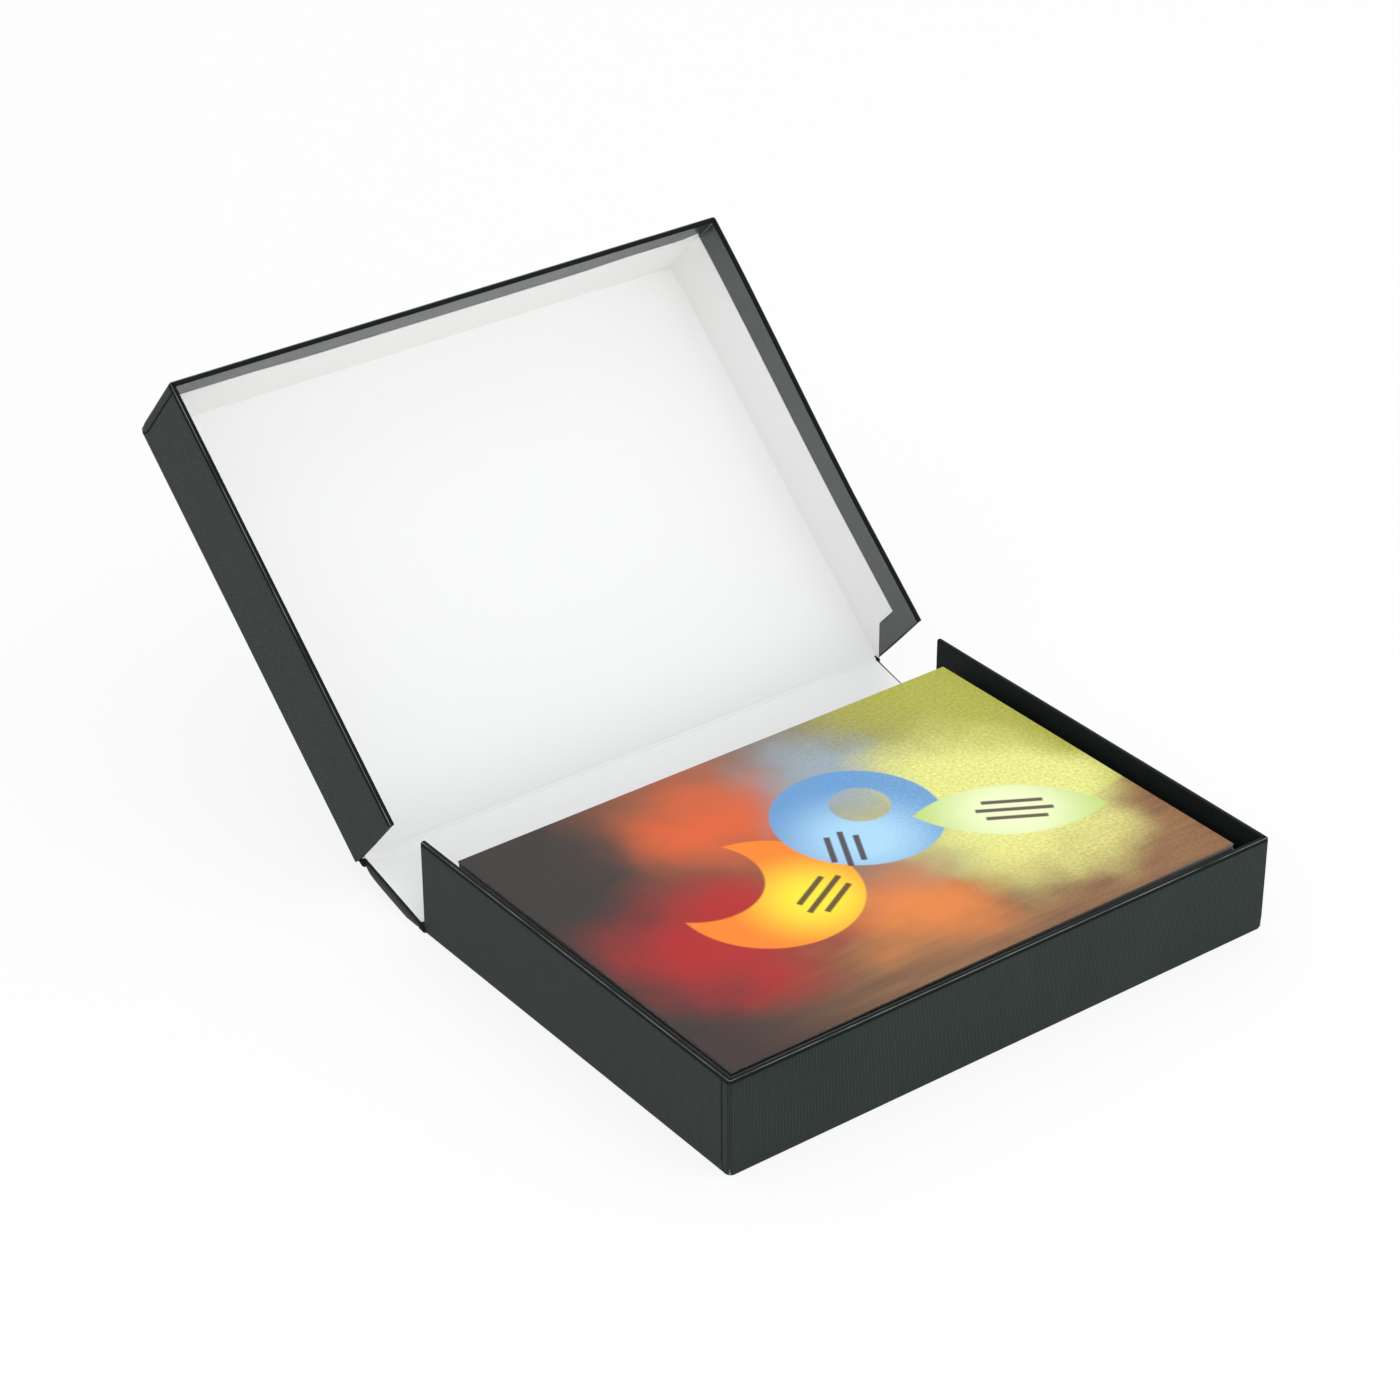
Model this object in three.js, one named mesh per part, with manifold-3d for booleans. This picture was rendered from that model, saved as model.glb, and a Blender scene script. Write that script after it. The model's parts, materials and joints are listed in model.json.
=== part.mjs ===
// Cloth-covered portfolio box: an open-backed tray, a spine flap and a deeper-set lid,
// joined by two cloth hinges, with a stack of A4 prints lying in the tray.
// Millimetres, +Z up. X runs along the hinges, the tray's front wall is at -Y, and the
// origin is the centre of the tray's underside.

import * as THREE from "three";
import { mergeVertices } from "three/addons/utils/BufferGeometryUtils.js";
import Module from "manifold-3d";

const wasm = await Module();
wasm.setup();

// Driving dimensions: materials
const board = 2.0; // greyboard of the panels and walls
const cloth = 0.45; // covering cloth
const lining = 0.35; // lining paper
const glueGap = 0.2; // between a board and the layer glued to it
const restGap = 0.3; // between a piece and what it rests on or turns beside
const cornerRounding = 0.9; // of the covering at the upright corners
const edgeRounding = 0.6; // of the covering over rims and along the panel's edges

// Driving dimensions: prints
const printWidth = 297; // A4, long side along the hinges
const printDepth = 210;
const printThickness = 0.3;
const printTurn = 0.25; // degrees, how far the top print lies out of square
const stackHeight = 40.4;

// Driving dimensions: tray, spine and lid
const sideRoom = 7.3; // from the prints to each side wall
const frontRoom = 9.2; // from the prints to the front wall
const rearRoom = 15.6; // from the prints to the tray's open hinge edge
const trayHeight = 51.0;
const lidHeight = 51.1; // from the lid's outer face to its rim
const lidSideClearance = 0.8; // between a tray side wall and the lid wall outside it
const lidFrontClearance = 0.8;
const lidLift = 0.4; // closed lid's lining above the tray's rim
const hingeRoom = 1.9; // from a hinge axis to the panel edge beside it
const lidWallReach = 1.4; // lid side walls past the lid panel's hinge edge
const spineBow = 1.2; // how far the outer cloth bows off the spine board
const spineTurnIn = 1.2; // cloth that shows past the lining at each end of the spine

// Driving dimensions: turned-in cloth above the lining on the inside of the walls
const sideBand = 15.7;
const frontBand = 15.0;
const rearBand = 13.5; // upright band at a side wall's hinge end
const bandStep = 8; // front band widens to the side band over this length
const flapFoot = 1.5; // lining flap's height above the panel at the hinge edge
const flapShoulder = 20; // height where the flap's slanted end turns upright

// Opening angles above the table, as stored
const spineAngle = THREE.MathUtils.degToRad(13.7);
const lidAngle = THREE.MathUtils.degToRad(41.6);

// Worked out from the driving dimensions
const wall = cloth + glueGap + board + glueGap + lining;
const trayWidth = printWidth + 2 * (sideRoom + wall);
const trayDepth = printDepth + rearRoom + frontRoom + wall;
const lidWidth = trayWidth + 2 * (lidSideClearance + wall);
const lidWallStart = hingeRoom - lidWallReach;
const lidDepth = hingeRoom + trayDepth + lidFrontClearance + wall - lidWallStart;
const spineLength = trayHeight + lidLift; // between the two hinge axes

// Materials
const coverCloth = { color: 0x3a3f3d, roughness: 0.5, metalness: 0 };
const liningPaper = { color: 0xf4f3f1, roughness: 0.85, metalness: 0 };
const greyBoard = { color: 0x8d8a84, roughness: 0.95, metalness: 0 };
const printPaper = { color: 0xf2f0ea, roughness: 0.8, metalness: 0 };
const printedFace = { color: 0x8a5a3a, roughness: 0.55, metalness: 0 };

// Solids: three.js geometry in, exact joins and cuts, three.js geometry out
function solid(geometry) {
  const bare = geometry.clone();
  bare.deleteAttribute("normal");
  bare.deleteAttribute("uv");
  const merged = mergeVertices(bare, 1e-4);
  return new wasm.Manifold(new wasm.Mesh({
    numProp: 3,
    vertProperties: merged.attributes.position.array,
    triVerts: new Uint32Array(merged.index.array),
  }));
}

function geometryOf(manifold) {
  const mesh = manifold.getMesh();
  const geometry = new THREE.BufferGeometry();
  geometry.setAttribute("position", new THREE.BufferAttribute(mesh.vertProperties, 3));
  geometry.setIndex(new THREE.BufferAttribute(mesh.triVerts, 1));
  geometry.computeVertexNormals();
  return geometry;
}

// Box between two corners given as [low, high] along each axis
function block([x0, x1], [y0, y1], [z0, z1]) {
  const geometry = new THREE.BoxGeometry(x1 - x0, y1 - y0, z1 - z0);
  return geometry.translate((x0 + x1) / 2, (y0 + y1) / 2, (z0 + z1) / 2);
}

// Plate of the given outline in the plane of two axes, from low to high along the third
function plate(outline, plane, [low, high]) {
  const shape = new THREE.Shape(outline.map(([a, b]) => new THREE.Vector2(a, b)));
  const geometry = new THREE.ExtrudeGeometry(shape, { depth: high - low, bevelEnabled: false });
  geometry.translate(0, 0, low);
  if (plane === "yz") {
    geometry.applyMatrix4(new THREE.Matrix4().set(0, 0, 1, 0, 1, 0, 0, 0, 0, 1, 0, 0, 0, 0, 0, 1));
  }
  if (plane === "zx") {
    geometry.applyMatrix4(new THREE.Matrix4().set(0, 1, 0, 0, 0, 0, 1, 0, 1, 0, 0, 0, 0, 0, 0, 1));
  }
  return geometry;
}

// Block standing on z = 0 with every outer edge rounded
function roundedBlock(width, depth, height) {
  const r = cornerRounding;
  const bevel = edgeRounding;
  const shape = new THREE.Shape();
  const x = width / 2;
  shape.moveTo(-x + r, 0);
  shape.lineTo(x - r, 0);
  shape.absarc(x - r, r, r, -Math.PI / 2, 0);
  shape.lineTo(x, depth - r);
  shape.absarc(x - r, depth - r, r, 0, Math.PI / 2);
  shape.lineTo(-x + r, depth);
  shape.absarc(-x + r, depth - r, r, Math.PI / 2, Math.PI);
  shape.lineTo(-x, r);
  shape.absarc(-x + r, r, r, Math.PI, 1.5 * Math.PI);
  const geometry = new THREE.ExtrudeGeometry(shape, {
    depth: height - 2 * bevel,
    bevelThickness: bevel,
    bevelSize: bevel,
    bevelOffset: -bevel,
    bevelSegments: 3,
    curveSegments: 4,
  });
  return geometry.translate(0, 0, bevel);
}

function named(name, geometry, finish) {
  const mesh = new THREE.Mesh(geometry, new THREE.MeshStandardMaterial(finish));
  mesh.name = name;
  return mesh;
}

// Both side walls' copies of a piece, mirrored across the middle
function mirrored(ranges) {
  const [[x0, x1], y, z] = ranges;
  return [[[x0, x1], y, z], [[-x1, -x0], y, z]];
}

// A covered tray: panel, two side walls and a front wall of board, wrapped in cloth that
// turns in over the rims, and lined with one folded sheet. Its hinge edge is at y = 0, its
// front wall faces +Y, and its outer face lies on z = 0.
function coveredTray({ name, plusSide, minusSide, width, depth, height, wallReach }) {
  const outer = width / 2;
  const inner = outer - wall;
  const innerDepth = depth - wall;
  const boardIn = cloth + glueGap; // from the outer face to a board
  const beyond = 1; // cutters run this far past what they cut

  function boards() {
    const boardTop = height - boardIn;
    const wallFoot = boardIn + board + glueGap;
    const sideEnd = depth - boardIn - board - glueGap;
    const panel = block(
      [-outer + boardIn, outer - boardIn],
      [wallReach + boardIn, depth - boardIn],
      [boardIn, boardIn + board],
    );
    const front = block(
      [-outer + boardIn, outer - boardIn],
      [depth - boardIn - board, depth - boardIn],
      [wallFoot, boardTop],
    );
    const sides = mirrored([
      [outer - boardIn - board, outer - boardIn],
      [boardIn, sideEnd],
      [wallFoot, boardTop],
    ]).map((ranges) => block(...ranges));
    return [
      named(`${name}_panel_board`, panel, greyBoard),
      named(`${name}_front_board`, front, greyBoard),
      named(`${name}_${plusSide}_board`, sides[0], greyBoard),
      named(`${name}_${minusSide}_board`, sides[1], greyBoard),
    ];
  }

  // Outline of the lining's side flap, grown by a margin, as [y, z] points
  function sideFlap(margin) {
    const top = height - sideBand + margin;
    const end = innerDepth + lining + margin;
    const foot = wall - lining - margin;
    return [
      [-margin, foot],
      [end, foot],
      [end, top],
      [rearBand - margin, top],
      [rearBand - margin, flapShoulder + margin],
      [-margin, wall + flapFoot + margin],
    ];
  }

  // Outline of the lining's front flap, grown by a margin, as [z, x] points
  function frontFlap(margin) {
    const side = inner + lining + margin;
    const foot = wall - lining - margin;
    const low = height - sideBand + margin;
    const high = height - frontBand + margin;
    return [
      [foot, -side],
      [low, -side],
      [high, -side + bandStep],
      [high, side - bandStep],
      [low, side],
      [foot, side],
    ];
  }

  // Cut that keeps the panel's layers off the hinge strip between the side walls
  function hingeCut() {
    return solid(block([-inner, inner], [-beyond, wallReach], [-beyond, wall + beyond]));
  }

  function cover() {
    const pocketEdge = inner + lining;
    let shell = solid(roundedBlock(width, depth, height));
    const pocket = solid(block(
      [-outer + cloth, outer - cloth],
      [cloth, depth - cloth],
      [cloth, height - cloth],
    ));
    const inside = solid(block(
      [-pocketEdge, pocketEdge],
      [-beyond, innerDepth + lining],
      [wall - lining, height],
    ));
    const opening = solid(block([-inner, inner], [-beyond, innerDepth], [cloth, height + beyond]));
    shell = shell.subtract(pocket.subtract(inside)).subtract(opening);
    const flapDepth = [inner - beyond, pocketEdge + glueGap];
    const mirroredDepth = [-flapDepth[1], -flapDepth[0]];
    shell = shell.subtract(solid(plate(sideFlap(glueGap), "yz", flapDepth)));
    shell = shell.subtract(solid(plate(sideFlap(glueGap), "yz", mirroredDepth)));
    const frontDepth = [innerDepth - beyond, innerDepth + lining + glueGap];
    shell = shell.subtract(solid(plate(frontFlap(glueGap), "zx", frontDepth)));
    return shell.subtract(hingeCut());
  }

  function liner() {
    const edge = inner + lining;
    let sheet = solid(block([-edge, edge], [0, innerDepth + lining], [wall - lining, wall]));
    sheet = sheet.add(solid(plate(sideFlap(0), "yz", [inner, edge])));
    sheet = sheet.add(solid(plate(sideFlap(0), "yz", [-edge, -inner])));
    sheet = sheet.add(solid(plate(frontFlap(0), "zx", [innerDepth, innerDepth + lining])));
    return sheet.subtract(hingeCut());
  }

  const group = new THREE.Group();
  group.add(
    ...boards(),
    named(`${name}_cover`, geometryOf(cover()), coverCloth),
    named(`${name}_lining`, geometryOf(liner()), liningPaper),
  );
  return group;
}

// Tray body: covered tray turned so that its hinge edge is at +Y, with the prints in it
function tray() {
  const group = new THREE.Group();
  const box = coveredTray({
    name: "tray",
    plusSide: "left",
    minusSide: "right",
    width: trayWidth,
    depth: trayDepth,
    height: trayHeight,
    wallReach: 0,
  });
  box.rotation.z = Math.PI;
  box.position.y = trayDepth / 2;
  group.add(box, hingeStrip("tray_hinge_strip", trayDepth / 2 + hingeRoom), ...prints());
  return group;
}

// Stack of prints and the print that lies on top, slightly out of square
function prints() {
  const middle = -trayDepth / 2 + wall + frontRoom + printDepth / 2;
  const stackFoot = wall + restGap;
  const topFoot = stackFoot + stackHeight + restGap;
  const stack = new THREE.BoxGeometry(printWidth, printDepth, stackHeight);
  const sheet = new THREE.BoxGeometry(printWidth, printDepth, printThickness);
  const stackMesh = named("print_stack", stack, printPaper);
  const topMesh = named("top_print", sheet, printedFace);
  stackMesh.position.set(0, middle, stackFoot + stackHeight / 2);
  topMesh.position.set(0, middle, topFoot + printThickness / 2);
  topMesh.rotation.z = THREE.MathUtils.degToRad(printTurn);
  return [stackMesh, topMesh];
}

// Folded cloth of a hinge, a slim round strip along the hinge axis
function hingeStrip(name, y) {
  const radius = hingeRoom - restGap;
  const strip = new THREE.CylinderGeometry(radius, radius, trayWidth - 2 * cornerRounding, 16);
  strip.rotateZ(Math.PI / 2);
  const mesh = named(name, strip, coverCloth);
  mesh.position.set(0, y, wall / 2);
  return mesh;
}

// Spine flap in its own frame: hinge axes at y = 0 and y = spineLength, outer face on z = 0
function spineFlap() {
  const side = trayWidth / 2;
  const start = hingeRoom;
  const end = spineLength - hingeRoom;
  const boardIn = cloth + glueGap;
  const spineBoard = block(
    [-side + boardIn, side - boardIn],
    [start, end],
    [boardIn, boardIn + board],
  );
  const liningSide = side - spineTurnIn - glueGap;
  const liner = block([-liningSide, liningSide], [start, end], [wall - lining, wall]);

  // Cloth round the board's two ends, as [z, x] points of half the section
  const wrap = [
    [0, 0],
    [0, side],
    [wall, side],
    [wall, side - spineTurnIn],
    [wall - lining, side - spineTurnIn],
    [wall - lining, side - cloth],
    [cloth, side - cloth],
    [cloth, 0],
  ];
  const otherHalf = wrap.map(([z, x]) => [z, -x]).reverse();
  const sheet = solid(plate([...wrap, ...otherHalf.slice(1, -1)], "zx", [start, end]));

  // Outer cloth, bowed off the board in a shallow arc between the hinges, as [y, z] points
  const steps = 12;
  const arc = Array.from({ length: steps + 1 }, (_, i) => {
    const t = i / steps;
    return [start + t * (end - start), -spineBow * 4 * t * (1 - t)];
  });
  const upper = arc.map(([y, z]) => [y, z + cloth]).reverse();
  const bowed = solid(plate([...arc, ...upper], "yz", [-side, side]));

  const flap = new THREE.Group();
  flap.position.z = -wall / 2;
  flap.add(
    named("spine_board", spineBoard, greyBoard),
    named("spine_cover", geometryOf(sheet.add(bowed)), coverCloth),
    named("spine_lining", liner, liningPaper),
  );
  return flap;
}

// Lid body about the upper hinge axis, its walls outside the tray's
function lid() {
  const box = coveredTray({
    name: "lid",
    plusSide: "right",
    minusSide: "left",
    width: lidWidth,
    depth: lidDepth,
    height: lidHeight,
    wallReach: lidWallReach,
  });
  box.position.set(0, lidWallStart, -wall / 2);
  return box;
}

const spineBody = new THREE.Group();
spineBody.position.set(0, trayDepth / 2 + hingeRoom, wall / 2);
spineBody.rotation.x = spineAngle;
const upperStrip = hingeStrip("spine_hinge_strip", spineLength);
upperStrip.position.z = 0;
spineBody.add(spineFlap(), upperStrip);

const lidBody = new THREE.Group();
lidBody.position.copy(spineBody.position);
lidBody.position.y += spineLength * Math.cos(spineAngle);
lidBody.position.z += spineLength * Math.sin(spineAngle);
lidBody.rotation.x = lidAngle;
lidBody.add(lid());

const portfolioBox = new THREE.Group();
portfolioBox.add(tray(), spineBody, lidBody);

export default portfolioBox;
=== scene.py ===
import json
import math

import bmesh
import bpy
from bpy.props import FloatProperty, FloatVectorProperty, IntProperty, PointerProperty
from mathutils import Matrix, Vector, noise


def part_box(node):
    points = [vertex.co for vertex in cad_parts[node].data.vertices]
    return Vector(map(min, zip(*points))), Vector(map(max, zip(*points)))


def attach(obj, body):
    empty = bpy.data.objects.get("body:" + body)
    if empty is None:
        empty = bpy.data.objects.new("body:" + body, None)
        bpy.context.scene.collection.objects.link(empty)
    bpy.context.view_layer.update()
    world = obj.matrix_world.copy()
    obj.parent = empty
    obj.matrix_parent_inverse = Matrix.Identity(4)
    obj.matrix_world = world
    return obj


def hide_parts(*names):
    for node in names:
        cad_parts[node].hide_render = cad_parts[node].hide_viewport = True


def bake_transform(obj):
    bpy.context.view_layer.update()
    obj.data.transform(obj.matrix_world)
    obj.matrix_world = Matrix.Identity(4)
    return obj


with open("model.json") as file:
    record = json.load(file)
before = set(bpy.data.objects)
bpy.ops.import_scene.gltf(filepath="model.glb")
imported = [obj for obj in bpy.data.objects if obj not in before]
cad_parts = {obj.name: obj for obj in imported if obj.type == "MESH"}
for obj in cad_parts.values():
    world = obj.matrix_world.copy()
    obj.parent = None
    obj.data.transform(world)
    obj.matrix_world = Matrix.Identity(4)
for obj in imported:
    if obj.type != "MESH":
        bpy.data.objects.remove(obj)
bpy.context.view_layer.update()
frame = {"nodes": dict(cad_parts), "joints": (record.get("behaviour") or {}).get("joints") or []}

bl_info = {
    "name": "Portfolio box",
    "version": (1, 0, 0),
    "blender": (4, 5, 0),
    "location": "View3D > Sidebar > Portfolio",
    "description": "Dresses the packed portfolio box in cloth, lining paper and prints",
    "category": "Object",
}

MM = 0.001

# Places of the two hinges and the stored opening angles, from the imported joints
JOINTS = {joint["name"]: joint for joint in frame["joints"]}
HINGE_A = Vector(JOINTS["spine_hinge"]["pos_m"])
HINGE_B = Vector(JOINTS["lid_hinge"]["pos_m"])
SPINE_ANGLE = math.atan2(HINGE_B.z - HINGE_A.z, HINGE_B.y - HINGE_A.y)
LID_ANGLE = SPINE_ANGLE + math.radians(90 - JOINTS["lid_hinge"]["range_deg"][1])
SPINE_LENGTH = (HINGE_B - HINGE_A).length
HALF_WALL = HINGE_A.z  # hinge axes lie at half the thickness of a covered board
WALL = 2 * HALF_WALL


# Frames of the three bodies: u across, v away from the hinge edge, w up from the outer face
def hinge_frame(place, angle):
    turned = Matrix.Translation(place) @ Matrix.Rotation(angle, 4, "X")
    return turned @ Matrix.Translation((0, 0, -HALF_WALL))


def box_in(matrix, node):
    """Lowest and highest corner of a CAD node in a body's own frame"""
    back = matrix.inverted()
    points = [back @ vertex.co for vertex in frame["nodes"][node].data.vertices]
    low = Vector(min(p[i] for p in points) for i in range(3))
    high = Vector(max(p[i] for p in points) for i in range(3))
    return low, high


TRAY_LOW, TRAY_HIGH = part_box("tray_cover")
TRAY = Matrix.Translation((0, TRAY_HIGH.y, 0)) @ Matrix.Rotation(math.pi, 4, "Z")
SPINE = hinge_frame(HINGE_A, SPINE_ANGLE)
LID_LOW, LID_HIGH = box_in(hinge_frame(HINGE_B, LID_ANGLE), "lid_cover")
LID = hinge_frame(HINGE_B, LID_ANGLE) @ Matrix.Translation((0, LID_LOW.y, 0))
TRAY_SIZE = (TRAY_HIGH.x - TRAY_LOW.x, TRAY_HIGH.y - TRAY_LOW.y, TRAY_HIGH.z)
LID_SIZE = (LID_HIGH.x - LID_LOW.x, LID_HIGH.y - LID_LOW.y, LID_HIGH.z - LID_LOW.z)
HINGE_ROOM = HINGE_A.y - TRAY_HIGH.y  # from a hinge axis to the panel beside it
LID_START = HINGE_ROOM - LID_LOW.y  # from the lid's own v = 0 to the start of its panel


# Sizes and colours that a user would change
def length(name, description, millimetres):
    return FloatProperty(name=name, description=description, default=millimetres * MM,
                         unit="LENGTH", precision=4)


def colour_of(name, description, colour):
    return FloatVectorProperty(name=name, description=description, default=colour,
                               subtype="COLOR", min=0, max=1)


class BoxSizes(bpy.types.PropertyGroup):
    outer_rounding: length("Outer rounding", "Radius of the rim's outer edge", 1.1)
    inner_rounding: length("Inner rounding", "Radius of the rim's inner edge", 0.9)
    corner_rounding: length("Corner rounding", "Radius of the upright outer corners", 1.8)
    cloth_thickness: length("Cloth thickness", "Thickness of the covering cloth", 0.25)
    paper_thickness: length("Lining thickness", "Thickness of the lining paper", 0.3)
    seam_place: length("Corner seam", "How far the front cloth wraps onto a side wall", 3.5)
    side_band: length("Side turn-in", "Cloth turned in above the side flaps", 15.7)
    front_band: length("Front turn-in", "Cloth turned in above the front flap", 15.0)
    rear_band: length("Rear turn-in", "Upright cloth band at a side wall's hinge end", 13.5)
    lid_lean: length("Lid lean", "How far the lid's right wall leans out at its front", 4.6)
    sheets: IntProperty(
        name="Sheets", description="Prints in the stack under the top one",
        default=134, min=1)
    sheet_stray: length("Stray", "How far the sheets of the stack lie out of line", 0.35)


class BoxColours(bpy.types.PropertyGroup):
    cloth_dark: colour_of("Cloth, dark", "Cloth between the ribs", (0.0085, 0.0130, 0.0110))
    cloth_light: colour_of("Cloth, light", "Cloth on the ribs", (0.0330, 0.0430, 0.0385))
    lining: colour_of("Lining", "Lining paper", (0.925, 0.92, 0.935))
    greyboard: colour_of("Greyboard", "Boards inside the cloth", (0.27, 0.255, 0.225))
    paper: colour_of("Print paper", "Edges of the prints", (0.86, 0.85, 0.81))


# Node trees of the materials
class Nodes:
    """Builds a node tree. Shader nodes go by their short name, other nodes by their full one."""

    def __init__(self, tree):
        self.tree = tree
        tree.nodes.clear()

    def add(self, kind, inputs=None, **settings):
        node = self.tree.nodes.new(kind if "Node" in kind else "ShaderNode" + kind)
        for name, value in settings.items():
            setattr(node, name, value)
        for key, value in (inputs or {}).items():
            self.feed(node.inputs[key], value)
        return node

    def feed(self, socket, value):
        if isinstance(value, bpy.types.NodeSocket):
            self.tree.links.new(value, socket)
        else:
            socket.default_value = value

    def math(self, operation, a, b=0.0, clamp=False):
        return self.add("Math", {0: a, 1: b}, operation=operation, use_clamp=clamp).outputs[0]

    def plus(self, a, b):
        return self.math("ADD", a, b)

    def minus(self, a, b):
        return self.math("SUBTRACT", a, b)

    def times(self, a, b):
        return self.math("MULTIPLY", a, b)

    def vector_math(self, operation, a, b):
        return self.add("VectorMath", {0: a, 1: b}, operation=operation)

    def stretched(self, vector, factor):
        """A vector times one number"""
        return self.add("VectorMath", {0: vector, "Scale": factor}, operation="SCALE").outputs[0]

    def mix(self, factor, a, b):
        node = self.add("Mix", data_type="RGBA")
        for socket, value in zip((node.inputs[0], node.inputs[6], node.inputs[7]), (factor, a, b)):
            self.feed(socket, value)
        return node.outputs[2]

    def ramp(self, value, low, high, to_low=0.0, to_high=1.0, smooth=True):
        kind = "SMOOTHSTEP" if smooth else "LINEAR"
        inputs = {"Value": value, "From Min": low, "From Max": high,
                  "To Min": to_low, "To Max": to_high}
        return self.add("MapRange", inputs, interpolation_type=kind).outputs["Result"]

    def noise(self, vector, scale, detail=2.0, roughness=0.5):
        inputs = {"Vector": vector, "Scale": scale, "Detail": detail, "Roughness": roughness}
        return self.add("TexNoise", inputs).outputs["Fac"]

    def scaled(self, vector, factors):
        """A vector times three numbers, one for each of its parts"""
        return self.vector_math("MULTIPLY", vector, factors).outputs[0]

    def distance(self, vector, place):
        return self.vector_math("DISTANCE", vector, place).outputs["Value"]

    def object_place(self):
        return self.add("TexCoord").outputs["Object"]

    def own_uv(self):
        return self.add("UVMap", uv_map="UVMap").outputs["UV"]

    def attribute(self, name):
        return self.add("Attribute", attribute_name=name).outputs["Fac"]

    def finish(self, bump, **inputs):
        shader = self.add("BsdfPrincipled", {"Normal": bump})
        for name, value in inputs.items():
            self.feed(shader.inputs[name.replace("_", " ")], value)
        self.add("OutputMaterial", {"Surface": shader.outputs["BSDF"]})

    def bump(self, height, strength, depth):
        inputs = {"Height": height, "Strength": strength, "Distance": depth}
        return self.add("Bump", inputs).outputs["Normal"]


def opaque(colour):
    return (*colour, 1.0)


def made_once(name, build):
    """A material by name, built the first time it is asked for"""
    material = bpy.data.materials.get(name)
    if material is None:
        material = bpy.data.materials.new(name)
        material.use_nodes = True
        build(Nodes(material.node_tree))
    return material


RIB_PITCH = 0.8 * MM
THREAD_PITCH = 0.42 * MM
RELIEF_DEPTH = 0.11 * MM
MEAN_RELIEF = 0.74  # average of the weave's height, kept where the relief is pressed flat
# Colour of the painted shade in grooves, seams, folds, hinges and the tray's inside
SHADED_CLOTH = (0.0012, 0.0014, 0.0013, 1.0)
# Colour of the painted shade over the rims
RIM_PAINTED_SHADE = (0.0015, 0.0020, 0.0018, 1.0)
# Colour of the painted glint along the rims' crests
PAINTED_GLINT_COLOUR = (0.34, 0.37, 0.37, 1.0)


def waves(n, vector, axis, pitch, distortion):
    inputs = {"Vector": vector, "Scale": math.tau / (20 * pitch), "Distortion": distortion,
              "Detail": 1.0, "Detail Scale": 0.6}
    node = n.add("TexWave", inputs, wave_type="BANDS", bands_direction=axis)
    return node.outputs["Fac"]


def cloth_nodes(n, gloss, roughness_range, tint, relief):
    """Ribbed cloth, with painted shade where the attribute shade is set (grooves, seams, folds,
    hinges, the tray's inside) and over the rims (rim), and a painted glint along the rims' crests
    """
    vector = n.own_uv()
    colours = bpy.context.scene.box_colours
    shade = n.attribute("shade")
    rim = n.attribute("rim")
    painted_glint = n.attribute("painted_glint")
    ribs = waves(n, vector, "X", RIB_PITCH, 0.9)
    threads = waves(n, vector, "Y", THREAD_PITCH, 0.7)
    slub = n.noise(n.scaled(vector, (700.0, 90.0, 1.0)), 1.0, 3.0, 0.6)
    cloud = n.noise(vector, 26.0, 3.0, 0.55)
    grain = n.noise(vector, 2600.0, 2.0)
    height = n.plus(n.times(ribs, 0.62), n.times(threads, 0.3))
    height = n.plus(height, n.times(n.plus(slub, grain), 0.28))
    height = n.plus(n.times(height, relief), MEAN_RELIEF * (1 - relief))
    tone = n.plus(n.times(height, 0.75), n.times(cloud, 0.28))
    colour = n.mix(n.ramp(tone, 0.42, 0.90), opaque(colours.cloth_dark), opaque(colours.cloth_light))
    # Painted shade where the attribute shade is set
    colour = n.mix(n.times(shade, 0.9), colour, SHADED_CLOTH)
    # Painted shade over the rims, which look darker than the walls
    colour = n.mix(n.times(rim, 0.72), colour, RIM_PAINTED_SHADE)
    # Painted glint along the rims' crests, patchy along its length, where the cloth is also smoother
    patchy_glint = n.times(painted_glint, n.ramp(n.noise(vector, 30.0, 4.0, 0.6), 0.26, 0.68))
    colour = n.mix(n.times(patchy_glint, 0.85), colour, PAINTED_GLINT_COLOUR)
    roughness = n.ramp(cloud, 0.3, 0.7, *roughness_range)
    roughness = n.plus(roughness, n.times(shade, 0.3))
    roughness = n.minus(roughness, n.times(patchy_glint, 0.18))
    n.finish(n.bump(height, 0.85, RELIEF_DEPTH), Base_Color=colour, Roughness=roughness,
             Specular_IOR_Level=gloss, Specular_Tint=tint)


def cloth_material():
    return made_once("cover_cloth_ribbed", lambda n: cloth_nodes(
        n, 0.065, (0.38, 0.43), (0.86, 1.0, 0.93, 1.0), 1.0))


def pressed_cloth_material():
    """Turned-in cloth on the inside of the lid, pressed smooth and glossier"""
    return made_once("cover_cloth_pressed", lambda n: cloth_nodes(
        n, 1.0, (0.25, 0.31), (0.97, 0.98, 1.0, 1.0), 0.3))


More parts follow.
